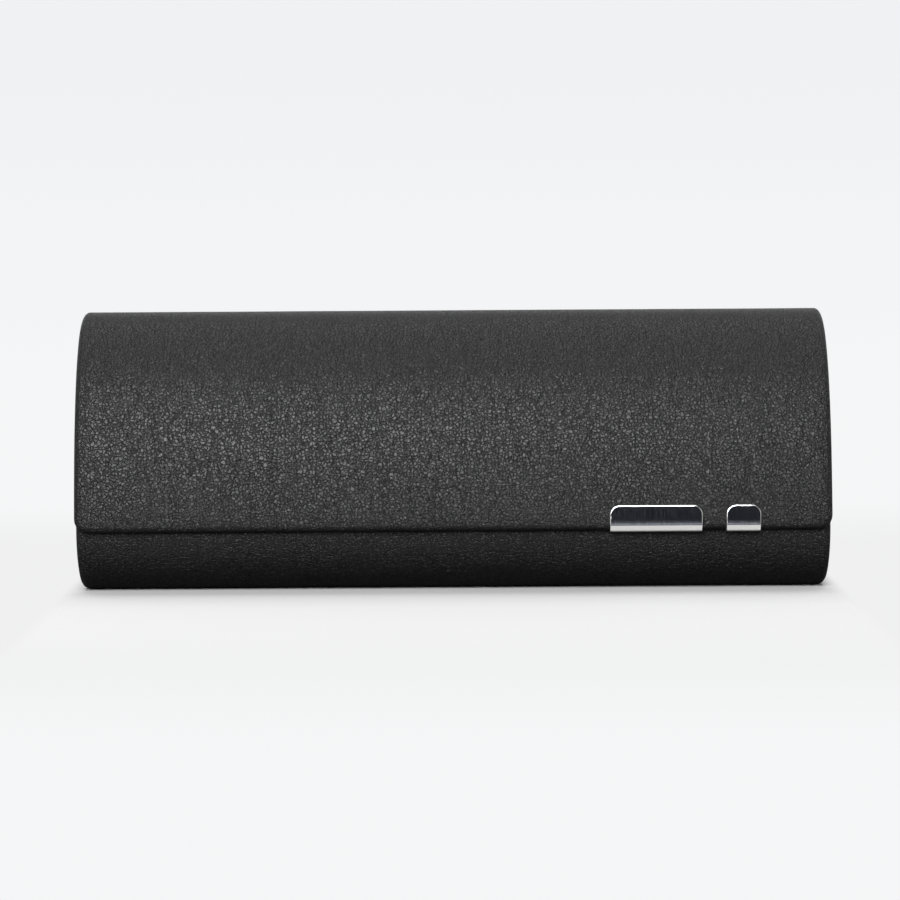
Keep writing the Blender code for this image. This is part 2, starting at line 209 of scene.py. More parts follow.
class Builder:
    """Collects a mesh's faces and their flat coordinates. A point is (position, flat)."""

    def __init__(self):
        self.mesh = bmesh.new()
        self.flat = self.mesh.loops.layers.uv.new("flat")

    def points(self, row):
        return [(self.mesh.verts.new(position), flat) for position, flat in row]

    def face(self, corners):
        made = self.mesh.faces.new([vert for vert, _ in corners])
        for loop, (_, flat) in zip(made.loops, corners):
            loop[self.flat].uv = flat
        return made

    def bridge(self, first, second, closed):
        count = len(first)
        for k in range(count if closed else count - 1):
            after = (k + 1) % count
            self.face([first[k], first[after], second[after], second[k]])

    def object(self, name):
        """The finished mesh, welded and facing out, as an object."""
        bmesh.ops.remove_doubles(self.mesh, verts=self.mesh.verts, dist=WELD)
        bmesh.ops.dissolve_degenerate(self.mesh, edges=self.mesh.edges, dist=WELD)
        bmesh.ops.recalc_face_normals(self.mesh, faces=self.mesh.faces)
        data = bpy.data.meshes.new(name)
        self.mesh.to_mesh(data)
        self.mesh.free()
        made = bpy.data.objects.new(name, data)
        bpy.context.scene.collection.objects.link(made)
        return made


def shade(piece, angle=SMOOTH_ANGLE):
    piece.data.shade_smooth()
    piece.data.set_sharp_from_angle(angle=angle)
    return piece


def outline(half, low, high, radius, inset, xs, stations, corner_steps, open_ends):
    """The points round a rectangle with rounded corners, drawn in by inset: (x, station, way out).

    They run up the left side, along the high end, down the right side and back along the low end. An open
    end, "low" or "high", has square corners and isn't drawn in.
    """
    kept = radius - inset
    right, low_centre, high_centre = half - radius, low + radius, high - radius
    turns = [(math.cos(a), math.sin(a)) for a in
             (math.pi / 2 * k / corner_steps for k in range(1, corner_steps))]
    points = [(-half + inset, s, (-1, 0)) for s in stations]
    if "high" in open_ends:
        points += [(x, high, (0, 0)) for x in xs]
    else:
        points += [(-right - kept * c, high_centre + kept * s, (-c, s)) for c, s in turns]
        points += [(x, high - inset, (0, 1)) for x in xs]
        points += [(right + kept * s, high_centre + kept * c, (s, c)) for c, s in turns]
    points += [(half - inset, s, (1, 0)) for s in reversed(stations)]
    if "low" in open_ends:
        points += [(x, low, (0, 0)) for x in reversed(xs)]
    else:
        points += [(right + kept * c, low_centre - kept * s, (c, -s)) for c, s in turns]
        points += [(x, low + inset, (0, -1)) for x in reversed(xs)]
        points += [(-right - kept * s, low_centre - kept * c, (-s, -c)) for c, s in turns]
    return points


def along(layers):
    """For each (inset, depth) layer, how far the surface has run out past the first layer's place."""
    run = 0.0
    found = []
    for previous, layer in zip([layers[0]] + layers, layers):
        run += math.dist(previous, layer)
        found.append(run - (layers[0][0] - layer[0]))
    return found


def panel(name, line, half, low, high, layers, step, middle=0.0, open_ends=(), lift=None, through=(),
          flat_v=None, corner_steps=6):
    """A closed piece laid along a line. Layers are (inset, depth) pairs from its outer to its inner face.

    The first and last insets are the radius of its corners. lift(x, station, is_inner) is added to the
    depth. flat_v turns a station into a texture coordinate. Stations in through get a row of points.
    """
    flat_v = flat_v or (lambda s: s)
    radius = layers[0][0]
    build = Builder()
    xs = spread(-half + radius, half - radius, step)
    low_end = low + (0.0 if "low" in open_ends else radius)
    high_end = high - (0.0 if "high" in open_ends else radius)
    stations = spread(low_end, high_end, step, through)

    def place(x, station, depth, flat_x, flat_s, inner):
        extra = lift(x + middle, station, inner) if lift else 0.0
        y, z = line.at(station, depth + extra)
        return ((x + middle, y, z), (flat_x + middle, flat_v(flat_s)))

    rings = []
    for index, ((inset, depth), over) in enumerate(zip(layers, along(layers))):
        inner = index >= len(layers) / 2
        ring = [place(x, s, depth, x + out[0] * over, s + out[1] * over, inner) for x, s, out in
                outline(half, low, high, radius, inset, xs, stations, corner_steps, open_ends)]
        rings.append(build.points(ring))
    for first, second in zip(rings, rings[1:]):
        build.bridge(first, second, closed=True)
    for depth, inner in ((layers[0][1], False), (layers[-1][1], True)):
        rows = [build.points([place(x, s, depth, x, s, inner) for x in xs]) for s in stations]
        for first, second in zip(rows, rows[1:]):
            build.bridge(first, second, closed=False)
    return shade(build.object(name))


def rounded_edge(thickness, inset, top=0.0, steps=8):
    """Layers round an edge that is a half circle, from the outer face to the inner one."""
    radius = thickness / 2
    edge = [(radius - radius * math.sin(a), top + radius - radius * math.cos(a))
            for a in (math.pi * k / steps for k in range(steps + 1))]
    return [(inset, top)] + edge + [(inset, top + thickness)]


def rolled_edge(thickness, inset, roll, tuck, steps=8):
    """Layers round an edge that rolls slowly in from the outer face and turns sharply at the inner one."""
    turns = [math.pi / 2 * k / steps for k in range(steps + 1)]
    deep = thickness - tuck
    outer = [(roll * (1 - math.sin(a)), deep * (1 - math.cos(a))) for a in turns]
    inner = [(tuck * (1 - math.cos(a)), deep + tuck * math.sin(a)) for a in turns[2::2]]
    return [(inset, 0.0)] + outer + inner + [(inset, thickness)]


def block(line, half, low, high, outer, inner, radius=0.0005, middle=0.0, step=0.003):
    """A square-edged band between two depths, for cutting."""
    layers = [(radius, outer), (0.0, outer), (0.0, inner), (radius, inner)]
    return panel("cutter", line, half, low, high, layers, step, middle=middle)


def cut(piece, *cutters):
    """Takes the cutters out of the piece for good, and deletes them."""
    for cutter in cutters:
        boolean = piece.modifiers.new("cut", "BOOLEAN")
        boolean.operation = "DIFFERENCE"
        boolean.object = cutter
    graph = bpy.context.evaluated_depsgraph_get()
    data = bpy.data.meshes.new_from_object(piece.evaluated_get(graph), depsgraph=graph)
    piece.modifiers.clear()
    piece.data = data
    for cutter in cutters:
        bpy.data.objects.remove(cutter)
    return shade(piece)


# ---------------------------------------------------------------- materials


class Nodes:
    """Short ways to make and join shader nodes."""

    def __init__(self, name):
        self.material = bpy.data.materials.new(name)
        self.material.use_nodes = True
        self.tree = self.material.node_tree
        self.shader = self.tree.nodes["Principled BSDF"]

    def add(self, kind, inputs=None, **settings):
        node = self.tree.nodes.new(kind)
        for key, value in settings.items():
            setattr(node, key, value)
        for key, value in (inputs or {}).items():
            self.put(value, node.inputs[key])
        return node

    def put(self, value, socket):
        if isinstance(value, bpy.types.NodeSocket):
            self.tree.links.new(value, socket)
        else:
            socket.default_value = value

    def math(self, operation, *values, clamp=False):
        node = self.add("ShaderNodeMath", dict(enumerate(values)), operation=operation, use_clamp=clamp)
        return node.outputs[0]

    def axes(self, vector):
        """The X, Y and Z of a vector."""
        return list(self.add("ShaderNodeSeparateXYZ", {0: vector}).outputs)

    def coordinates(self, kind):
        return self.add("ShaderNodeTexCoord").outputs[kind]

    def vector_math(self, operation, inputs):
        return self.add("ShaderNodeVectorMath", inputs, operation=operation).outputs["Vector"]

    def ramp(self, value, low, high, to_low=0.0, to_high=1.0):
        node = self.add("ShaderNodeMapRange", {0: value, 1: low, 2: high, 3: to_low, 4: to_high},
                        interpolation_type="SMOOTHSTEP")
        return node.outputs[0]

    def mix(self, factor, first, second):
        node = self.add("ShaderNodeMix", data_type="RGBA")
        for socket, value in ((node.inputs[0], factor), (node.inputs[6], first), (node.inputs[7], second)):
            self.put(value, socket)
        return node.outputs[2]

    def flat(self, scale=(1, 1, 1), turn=0.0):
        """The flat coordinates in metres, scaled and turned."""
        uv = self.add("ShaderNodeUVMap", uv_map="flat").outputs[0]
        return self.add("ShaderNodeMapping", {0: uv, 2: (0, 0, turn), 3: scale}).outputs[0]

    def noise(self, vector, scale, detail=2.0, roughness=0.5, output=0):
        inputs = {"Vector": vector, "Scale": scale, "Detail": detail, "Roughness": roughness}
        return self.add("ShaderNodeTexNoise", inputs, noise_dimensions="2D").outputs[output]

    def cracks(self, vector, size, randomness=1.0):
        """How far a point is from the nearest edge between cells of about this size, in cell widths."""
        inputs = {"Vector": vector, "Scale": 1.0 / size, "Randomness": randomness}
        return self.add("ShaderNodeTexVoronoi", inputs, voronoi_dimensions="2D",
                        feature="DISTANCE_TO_EDGE").outputs["Distance"]

    def bump(self, height, distance, strength=1.0, normal=None):
        node = self.add("ShaderNodeBump", {"Height": height, "Distance": distance, "Strength": strength})
        if normal is not None:
            self.put(normal, node.inputs["Normal"])
        return node.outputs[0]

    def finish(self, **sockets):
        for key, value in sockets.items():
            self.put(value, self.shader.inputs[key.replace("_", " ")])
        return self.material


def warped(nodes, vector, size, amount):
    """The vector pushed about by noise, so that what is drawn with it isn't regular."""
    colour = nodes.noise(vector, 1.0 / size, detail=1.0, output=1)
    centred = nodes.vector_math("SUBTRACT", {0: colour, 1: (0.5, 0.5, 0.5)})
    scaled = nodes.vector_math("SCALE", {0: centred, "Scale": amount})
    return nodes.vector_math("ADD", {0: vector, 1: scaled})


def leatherette():
    """Black embossed leatherette: pebbles about 0.7 mm wide, some of them split, and longer creases."""
    nodes = Nodes("leatherette")
    flat = nodes.flat()
    warp = warped(nodes, flat, 0.0009, 0.0010)
    pebbles = nodes.ramp(nodes.cracks(warp, 0.00074), 0.0, 0.22)
    splits = nodes.ramp(nodes.cracks(warped(nodes, flat, 0.0006, 0.0007), 0.00062), 0.0, 0.24)
    split_here = nodes.ramp(nodes.noise(flat, 900.0, detail=1.0), 0.35, 0.60)
    long_warp = warped(nodes, nodes.flat(scale=(1.0, 0.50, 1.0), turn=0.45), 0.0030, 0.0045)
    creases = nodes.ramp(nodes.cracks(long_warp, 0.0046), 0.0, 0.07)
    height = nodes.math("MULTIPLY", nodes.math("SUBTRACT", splits, 1.0), split_here)
    height = nodes.math("MULTIPLY_ADD", height, 0.45, pebbles)
    height = nodes.math("MULTIPLY_ADD", creases, 0.50, height)
    depth = nodes.ramp(nodes.noise(flat, 70.0, detail=2.0), 0.3, 0.7, 0.92, 1.0)
    height = nodes.math("MULTIPLY", height, depth)
    fine = nodes.noise(flat, 6500.0, detail=2.0, roughness=0.6)
    height = nodes.math("MULTIPLY_ADD", fine, 0.06, height)
    normal = nodes.bump(height, 0.000092)
    # The grooves and creases are drawn darker than the plateaus: painted shade in the grain's hollows.
    plateau_outside_painted_shade = nodes.ramp(height, 0.30, 1.20)
    colour = nodes.mix(plateau_outside_painted_shade, (0.0008, 0.0008, 0.0009, 1), (0.0050, 0.0050, 0.0053, 1))
    rough = nodes.ramp(height, 0.4, 1.3, 0.50, 0.38)
    return nodes.finish(Base_Color=colour, Roughness=rough, Normal=normal, Specular_IOR_Level=0.18)


def microfibre():
    """Short brushed pile: fine speckle, faint brushed streaks and a soft sheen."""
    nodes = Nodes("microfibre")
    flat = nodes.flat()
    pile = nodes.noise(flat, 5200.0, detail=3.0, roughness=0.7)
    streaks = nodes.noise(nodes.flat(scale=(1.0, 0.22, 1.0), turn=0.2), 900.0, detail=3.0)
    patches = nodes.noise(flat, 110.0, detail=3.0)
    height = nodes.math("MULTIPLY_ADD", streaks, 0.35, pile)
    tone = nodes.math("MULTIPLY_ADD", patches, 0.6, nodes.math("MULTIPLY", height, 0.5))
    colour = nodes.mix(nodes.ramp(tone, 0.4, 0.9), (0.007, 0.007, 0.008, 1), (0.021, 0.021, 0.024, 1))
    return nodes.finish(Base_Color=colour, Roughness=0.95, Normal=nodes.bump(height, 0.00012),
                        Sheen_Weight=0.35, Sheen_Roughness=0.4, Specular_IOR_Level=0.15)


def clip_metal():
    """The clip's edges and fold: polished, with hairline scratches."""
    nodes = Nodes("clip_polished")
    scratches = nodes.noise(nodes.flat(scale=(1.0, 0.06, 1.0)), 7000.0, detail=3.0)
    rough = nodes.ramp(scratches, 0.3, 0.8, 0.12, 0.22)
    return nodes.finish(Base_Color=(0.80, 0.80, 0.78, 1), Metallic=1.0, Roughness=rough,
                        Normal=nodes.bump(scratches, 0.000003))


def brushed_metal(crease):
    """The clip's face: brushed from top to bottom, and scuffed just above the crease."""
    nodes = Nodes("clip_brushed")
    lines = nodes.noise(nodes.flat(scale=(1.0, 0.05, 1.0)), 6500.0, detail=4.0, roughness=0.7)
    down = nodes.axes(nodes.flat())[1]
    fine = nodes.noise(nodes.flat(scale=(1.0, 0.06, 1.0)), 9000.0, detail=2.0, roughness=0.8)
    ragged = nodes.math("MULTIPLY_ADD", fine, 0.0010, down)
    scuffed = nodes.ramp(ragged, crease - 0.0008, crease + 0.0004)
    colour = nodes.mix(nodes.ramp(lines, 0.35, 0.75), (0.34, 0.36, 0.42, 1), (0.66, 0.69, 0.76, 1))
    rough = nodes.math("MULTIPLY_ADD", scuffed, 0.10, nodes.ramp(lines, 0.35, 0.80, 0.04, 0.09))
    brushed = nodes.bump(lines, 0.0000035)
    normal = nodes.bump(nodes.math("MULTIPLY", fine, scuffed), 0.000012, normal=brushed)
    return nodes.finish(Base_Color=colour, Metallic=1.0, Roughness=rough, Normal=normal)


def plain_object_material(name, low, high, size, stretch, roughness, metallic=0.0, bump=0.00003):
    """A material for the frame's own pieces, drawn from the object's coordinates."""
    nodes = Nodes(name)
    place = nodes.coordinates("Object")
    scaled = nodes.add("ShaderNodeMapping", {0: place, 3: stretch}).outputs[0]
    inputs = {"Vector": scaled, "Scale": 1.0 / size, "Detail": 4.0}
    grain = nodes.add("ShaderNodeTexNoise", inputs).outputs[0]
    colour = nodes.mix(nodes.ramp(grain, 0.3, 0.7), (*low, 1), (*high, 1))
    rough = nodes.ramp(grain, 0.3, 0.7, roughness[0], roughness[1])
    return nodes.finish(Base_Color=colour, Roughness=rough, Metallic=metallic,
                        Normal=nodes.bump(grain, bump))


def steel():
    return plain_object_material("rolled_steel", (0.42, 0.43, 0.44), (0.60, 0.61, 0.62), 0.0008,
                                 (0.05, 1, 1), (0.40, 0.25), metallic=1.0, bump=0.000005)


def board():
    return plain_object_material("binders_board", (0.22, 0.17, 0.12), (0.36, 0.29, 0.21), 0.0006, (1, 1, 1),
                                 (0.95, 0.85))


def nickel():
    return plain_object_material("nickel_plate", (0.62, 0.61, 0.58), (0.76, 0.75, 0.72), 0.0015, (1, 1, 1),
                                 (0.28, 0.18), metallic=1.0, bump=0.000003)


def foam():
    """Fine open-cell foam."""
    nodes = Nodes("foam")
    cells = nodes.ramp(nodes.cracks(nodes.flat(), 0.0006), 0.0, 0.4)
    colour = nodes.mix(cells, (0.30, 0.30, 0.28, 1), (0.60, 0.60, 0.57, 1))
    return nodes.finish(Base_Color=colour, Roughness=0.95, Normal=nodes.bump(cells, -0.00015))


TAPE_THREAD = 0.0008


def cotton_tape():
    """Plain-woven black tape."""
    nodes = Nodes("cotton_tape")
    threads = [nodes.math("SINE", nodes.math("MULTIPLY", axis, 2 * math.pi / TAPE_THREAD))
               for axis in nodes.axes(nodes.flat())[:2]]
    weave = nodes.math("MULTIPLY", *threads)
    colour = nodes.mix(nodes.ramp(weave, -1.0, 1.0), (0.010, 0.010, 0.011, 1), (0.032, 0.032, 0.034, 1))
    return nodes.finish(Base_Color=colour, Roughness=0.9, Normal=nodes.bump(weave, 0.00006))


# ---------------------------------------------------------------- pieces

# How far apart a piece's points are
STEP = 0.00125
FOLD_STEP = 0.0006
INNER_FOLD_STEP = 0.0008
PADDING_STEP = 0.0016

# The covers, the fold and the linings
HINGE_REACH = 0.0030
FLAP_CORNER = 0.0030
FLAP_ROLL = 0.0013
FLAP_TUCK = 0.0004
BASE_CORNER = 0.0020
WAVE_HEIGHT = 0.00003
WAVES_PER_M = 55.0
HINGE_GROOVE = 0.00035
STRIP_REACH = 0.0050
STRIP_THICKNESS = 0.0004
LINING_CORNER = 0.0008


def waves(seed, height=WAVE_HEIGHT):
    """A lift that makes an outer face very slightly uneven, as glued leatherette is."""
    def lift(x, station, inner):
        if inner:
            return 0.0
        return height * noise.noise(Vector((x * WAVES_PER_M, station * WAVES_PER_M, seed)))
    return lift


def put(piece, body, look, slot, *nodes):
    """Gives a piece its material and its body, and hides the frame nodes that it stands for. The slot is not
    used.
    """
    piece.data.materials.clear()
    piece.data.materials.append(look)
    if body:
        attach(piece, body)
    if nodes:
        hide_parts(*nodes)
    return piece


def make_base_cover(base, looks):
    """The leatherette over the trough, turned in over the front lip and thin where the end walls stand."""
    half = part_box("base_skin")[1].x
    edge = rounded_edge(BASE_WALL, BASE_CORNER)
    cover = panel("base_cover", base, half, 0.0, base.length - HINGE_REACH, edge, STEP,
                  open_ends=("high",), lift=waves(1.0))
    tuck = BASE_LINING[0] - GLUE / 2
    past = base.length + OVERCUT
    inner_half = half - SKIN - GLUE
    cutters = [
        block(base, inner_half, SKIN, past, SKIN, tuck),
        block(base, inner_half, LIP_MARGIN, past, tuck - GLUE, BASE_WALL + OVERCUT),
    ]
    for side in (-1, 1):
        space = (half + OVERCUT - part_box("end_lining_right")[0].x + GLUE) / 2
        cutters.append(block(base, space, -OVERCUT, past, STEEL_BACK, BASE_WALL + OVERCUT,
                             middle=side * (half + OVERCUT - space)))
    cut(cover, *cutters)
    put(cover, "base", looks["leatherette"], "leatherette", "base_skin")


def make_flap_cover(base, flap, looks):
    """The leatherette over the flap, turned in over its edges."""
    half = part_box("flap_skin")[1].x

    def flat_v(station):
        return base.length + 2 * HINGE_HALF + flap.length - station

    edge = rolled_edge(FLAP_WALL, FLAP_CORNER, FLAP_ROLL, FLAP_TUCK)
    cover = panel("flap_cover", flap, half, 0.0, flap.length - HINGE_REACH, edge, STEP,
                  open_ends=("high",), lift=waves(2.0), flat_v=flat_v)
    past = flap.length + OVERCUT
    pocket = block(flap, half - SKIN, SKIN, past, SKIN, FLAP_LINING[0], radius=FLAP_CORNER - SKIN)
    window = block(flap, half - FLAP_MARGIN, FLAP_MARGIN, past, FLAP_LINING[0] - GLUE, FLAP_WALL + OVERCUT)
    cut(cover, pocket, window)
    put(cover, "flap", looks["leatherette"], "leatherette", "flap_skin")


def across_fold(piece):
    """Bakes a piece's placement into its mesh. It doesn't bend the piece with the fold."""
    low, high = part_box("hinge_skin")
    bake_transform(piece)


def make_hinge(base, flap, looks):
    """The fold: leatherette outside with a shallow groove, cotton tape, and a lining strip inside."""
    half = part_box("hinge_skin")[1].x
    start, end = HINGE_REACH, HINGE_REACH + 2 * HINGE_HALF
    ease = 0.0013

    def groove(x, station, inner):
        return HINGE_GROOVE * (smooth_step(station, start - 0.0004, start + ease)
                               - smooth_step(station, end - ease, end + 0.0004))

    edge_radius = 0.0014
    turn = [math.radians(10 * k) for k in range(8)]
    outer_edge = [(edge_radius * (1 - math.sin(a)), edge_radius * (1 - math.cos(a)))
                  for a in turn]
    thin = edge_radius - SKIN
    inner_edge = [(edge_radius - thin * math.sin(a), edge_radius - thin * math.cos(a))
                  for a in reversed(turn)]
    line = back_line(flap, HINGE_REACH)
    cover = panel("hinge_cover", line, half, 0.0, line.length, outer_edge + inner_edge, FOLD_STEP,
                  open_ends=("low", "high"), lift=groove,
                  flat_v=lambda station: base.length - HINGE_REACH + station)
    put(cover, None, looks["leatherette"], "leatherette", "hinge_skin")
    across_fold(cover)

    inner_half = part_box("hinge_tape")[1].x
    line = back_line(flap, 0.0)
    edge = rounded_edge(HINGE_TAPE[1] - HINGE_TAPE[0], 0.0004, top=HINGE_TAPE[0], steps=4)
    tape = panel("hinge_tape_cloth", line, inner_half, GLUE, line.length - GLUE, edge, INNER_FOLD_STEP)
    put(tape, None, looks["cotton_tape"], "tape", "hinge_tape")
    across_fold(tape)

    line = back_line(flap, STRIP_REACH)
    start, end = STRIP_REACH, STRIP_REACH + 2 * HINGE_HALF
    on_base = BASE_LINING[1] + GLUE / 2
    in_fold = HINGE_TAPE[1] + GLUE
    on_flap = FLAP_LINING[1] + GLUE / 2

    def dip(x, station, inner):
        return ((in_fold - on_base) * smooth_step(station, start - 0.0006, start + 0.0016)
                + (on_flap - in_fold) * smooth_step(station, end - 0.0012, end + 0.0006))

    strip_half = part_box("flap_lining")[1].x - GLUE
    strip = panel("hinge_lining_strip", line, strip_half, 0.0, line.length,
                  rounded_edge(STRIP_THICKNESS, LINING_CORNER, top=on_base), INNER_FOLD_STEP, lift=dip)
    put(strip, None, looks["microfibre"], "lining", "hinge_lining")
    across_fold(strip)


def make_linings(base, flap, looks):
    """The microfibre in the base and in the flap, each glued down as one sheet."""
    magnets = [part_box(name) for name in ("magnet_left", "magnet_right")]
    seats = [((low.x + high.x) / 2,
              base.station_at_height((low.z + high.z) / 2, 0.0, base.length / 4))
             for low, high in magnets]
    magnet_radius = (magnets[0][1].x - magnets[0][0].x) / 2
    soft = waves(3.0, height=0.00008)

    def over_magnets(x, station, inner):
        if not inner:
            return 0.0
        lift = soft(x, station, False)
        for seat in seats:
            away = math.dist(seat, (x, station))
            lift += 0.00010 * (1 - smooth_step(away, magnet_radius - 0.0006, magnet_radius + 0.0009))
        return lift

    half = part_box("base_lining")[1].x
    low, high = LIP_MARGIN + GLUE, base.length - GLUE
    thickness = BASE_LINING[1] - BASE_LINING[0]
    edge = rounded_edge(thickness, LINING_CORNER, top=BASE_LINING[0])
    cloth = panel("base_lining_cloth", base, half, low, high, edge, STEP, lift=over_magnets)
    put(cloth, "base", looks["microfibre"], "lining", "base_lining")

    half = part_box("flap_lining")[1].x
    low, high = FLAP_MARGIN + GLUE, flap.length - GLUE
    edge = rounded_edge(thickness, LINING_CORNER, top=FLAP_LINING[0])
    cloth = panel("flap_lining_cloth", flap, half, low, high, edge, STEP,
                  lift=lambda x, station, inner: soft(x, station, not inner))
    put(cloth, "flap", looks["microfibre"], "lining", "flap_lining")


def make_padding(base, looks):
    """The thin foam under the base's lining, cut out round the magnets."""
    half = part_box("base_foam")[1].x
    top, bottom = BASE_FOAM
    layers = [(0.0005, top), (0.0, top), (0.0, bottom), (0.0005, bottom)]
    pad = panel("base_padding", base, half, SKIN + 2 * GLUE, base.length - GLUE, layers, PADDING_STEP)
    holes = []
    for name in ("magnet_left", "magnet_right"):
        low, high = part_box(name)
        middle = (low + high) / 2
        station = base.station_at_height(middle.z, 0.0, base.length / 4)
        inner, outer = base.at(station, BASE_WALL), base.at(station, 0.0)
        radius = (high.x - low.x) / 2 + 0.0002
        bpy.ops.mesh.primitive_cylinder_add(vertices=48, radius=radius, depth=0.008)
        hole = bpy.context.object
        hole.location = middle
        hole.rotation_euler = (math.atan2(inner[0] - outer[0], outer[1] - inner[1]), 0.0, 0.0)
        holes.append(hole)
    bpy.context.view_layer.update()
    cut(pad, *holes)
    put(pad, "base", looks["foam"], "foam", "base_foam")


END_TROUGH_DEPTH = 0.0014
END_FLAP_DEPTH = 0.0026
END_SHOULDER = 0.0012
END_FLAT_X = 0.3  # draws the end walls' grain away from the long sheet's


def end_ring(base, flap, inset, x, over, step=0.0012):
    """The end wall's outline at an inset: inside the trough below, and under the closed flap above."""
    shoulder = flap.station_at_height(base.at(0.0, 0.0)[1] + END_SHOULDER, 0.0, flap.length / 2)
    runs = [(base, END_TROUGH_DEPTH, spread(0.0, base.length, step)),
            (flap, END_FLAP_DEPTH, spread(flap.length, shoulder, -step))]
    ring = []
    for line, depth, stations in runs:
        for station in stations:
            y, z = line.at(station, depth + inset)
            flat = line.at(station, depth + inset - over)
            ring.append(((x, y, z), (END_FLAT_X + flat[0], flat[1])))
    return ring


def end_piece(name, base, flap, side, face, layers):
    """A closed piece in the end wall's outline. Layers are (inset, distance in from the face) pairs."""
    build = Builder()
    rings = [build.points(end_ring(base, flap, inset, side * (face - deep), over))
             for (inset, deep), over in zip(layers, along(layers))]
    for first, second in zip(rings, rings[1:]):
        build.bridge(first, second, closed=True)
    for ring in (rings[0], rings[-1]):
        build.face(ring)
    return shade(build.object(name))


def make_ends(base, flap, looks):
    """Each end wall: a slightly domed leatherette cover that wraps a board, and the lining in it."""
    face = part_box("end_skin_right")[1].x
    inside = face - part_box("end_skin_right")[0].x
    crown = 0.00012
    outer_edge = [(SKIN - SKIN * math.sin(a), SKIN - SKIN * math.cos(a))
                  for a in (math.pi / 2 * k / 6 for k in range(7))]
    rim = 0.0003
    inner_edge = [(rim - rim * math.cos(a), inside - rim + rim * math.sin(a))
                  for a in (math.pi / 2 * k / 4 for k in range(5))]
    wall = SKIN + GLUE
    tray = ([(0.0055, -crown), (0.0040, -crown * 0.9), (0.0026, -crown * 0.6), (0.0015, -crown * 0.2)]
            + outer_edge + inner_edge + [(wall, inside), (wall, wall)])
    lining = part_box("end_lining_right")
    deep, thick = face - lining[1].x, lining[1].x - lining[0].x
    nap = 0.0002
    cloth = ([(0.006, deep), (wall + GLUE, deep), (wall + GLUE, deep + thick - nap)]
             + [(wall + GLUE + nap, deep + thick), (0.006, deep + thick)])
    for side, word in ((-1, "left"), (1, "right")):
        cover = end_piece("end_cover_" + word, base, flap, side, face, tray)
        put(cover, "base", looks["leatherette"], "leatherette", "end_skin_" + word)
        piece = end_piece("end_lining_cloth_" + word, base, flap, side, face, cloth)
        put(piece, "base", looks["microfibre"], "lining", "end_lining_" + word)


CLIP_SHEET = 0.00045
CLIP_PROUD = 0.0005
CLIP_PLATE_TOP = 0.00525
CLIP_BELOW_EDGE = 0.00045
CLIP_BAND = 0.00144
CLIP_BAND_TURN = 32.0
CLIP_FLARE = (0.0008, 4.5)
CLIP_CREASE_RADIUS = 0.0002
CLIP_BEND = 0.0005
CLIP_DEPTH = 0.0028
CLIP_LEG = 0.0042
CLIP_CORNER = 0.0020
CLIP_BEVEL = 0.00021


def clip_line(flap):
    """Down the plate, in over the bright band, under the flap's edge and up behind it."""
    lean = math.radians(FRONT_LEAN) + CLIP_PLATE_TOP / 2 / LOWER_FRONT[0]
    plate = CLIP_PLATE_TOP + CLIP_BELOW_EDGE - CLIP_BAND
    turn = math.radians(CLIP_BAND_TURN)
    flare_length, flare = CLIP_FLARE[0], math.radians(CLIP_FLARE[1])
    crease = turn - flare
    crease_reach = CLIP_CREASE_RADIUS * math.tan(crease / 2)
    off_vertical = turn - lean
    fold_turn = math.pi / 2 - off_vertical
    facet_drop = CLIP_BAND - CLIP_BEND * (1 - math.sin(off_vertical))
    facet = facet_drop / math.cos(off_vertical)
    under = CLIP_DEPTH - facet * math.sin(off_vertical) - CLIP_BEND * math.cos(off_vertical) - CLIP_BEND
    steps = [
        (plate - flare_length - crease_reach, 0.0),
        (flare_length, flare),
        (CLIP_CREASE_RADIUS * crease, crease),
        (facet - crease_reach, 0.0),
        (CLIP_BEND * fold_turn, fold_turn),
        (under, 0.0),
        (CLIP_BEND * (math.pi / 2 - lean), math.pi / 2 - lean),
        (CLIP_LEG, 0.0),
    ]
    return Line(flap.at(CLIP_PLATE_TOP, -CLIP_PROUD), -math.pi / 2 - lean, -1, steps), plate


def make_clips(flap, looks):
    """Both clips, each one folded sheet: polished, and brushed on its face above the crease."""
    line, crease = clip_line(flap)
    bevel = CLIP_BEVEL
    turns = [math.pi / 2 * k / 6 for k in range(7)]
    rounded = [(bevel * (1 - math.sin(a)), bevel * (1 - math.cos(a))) for a in turns]
    layers = ([(CLIP_CORNER, 0.0), (bevel + 0.00003, 0.0)] + rounded
              + [(0.0, CLIP_SHEET - 0.00004), (0.00004, CLIP_SHEET), (CLIP_CORNER, CLIP_SHEET)])
    stops = [reached for reached, *_ in line.steps[1:]]
    stops += [(first + last) / 2 for first, last in zip(stops, stops[1:])]
    for name in ("long_clip", "short_clip"):
        low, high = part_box(name)
        half, middle = (high.x - low.x) / 2, (high.x + low.x) / 2
        clip = panel(name + "_cover", line, half, 0.0, line.length, layers, 0.0005, middle=middle,
                     through=stops, corner_steps=12)
        put(clip, "flap", looks["clip_polished"], "clip", name)
        clip.data.materials.append(looks["clip_brushed"])
        flat = clip.data.uv_layers["flat"].data
        for face in clip.data.polygons:
            across, down = flat[face.loop_start].uv
            centre = face.center
            in_face = abs(centre.x - middle) < half - bevel and face.normal.y < -0.95
            face.material_index = int(in_face and down < crease)
        shade(clip, math.radians(20))


def finish_frame_pieces(frame, looks):
    """Better materials for the frame's own pieces, which are all inside."""
    for names, look in (
        (("base_shell", "flap_shell"), "steel"),
        (("end_board_left", "end_board_right"), "board"),
        (("magnet_left", "magnet_right"), "nickel"),
    ):
        for name in names:
            frame["nodes"][name].data.materials.clear()
            frame["nodes"][name].data.materials.append(looks[look])


# ---------------------------------------------------------------- camera, lights, floor

CAMERA_DISTANCE = 0.600
CAMERA_ELEVATION = 3.9
CAMERA_ROLL = 0.36
CAMERA_LENS = 114.4
AIM = (-0.0006, -0.0203, 0.0306)

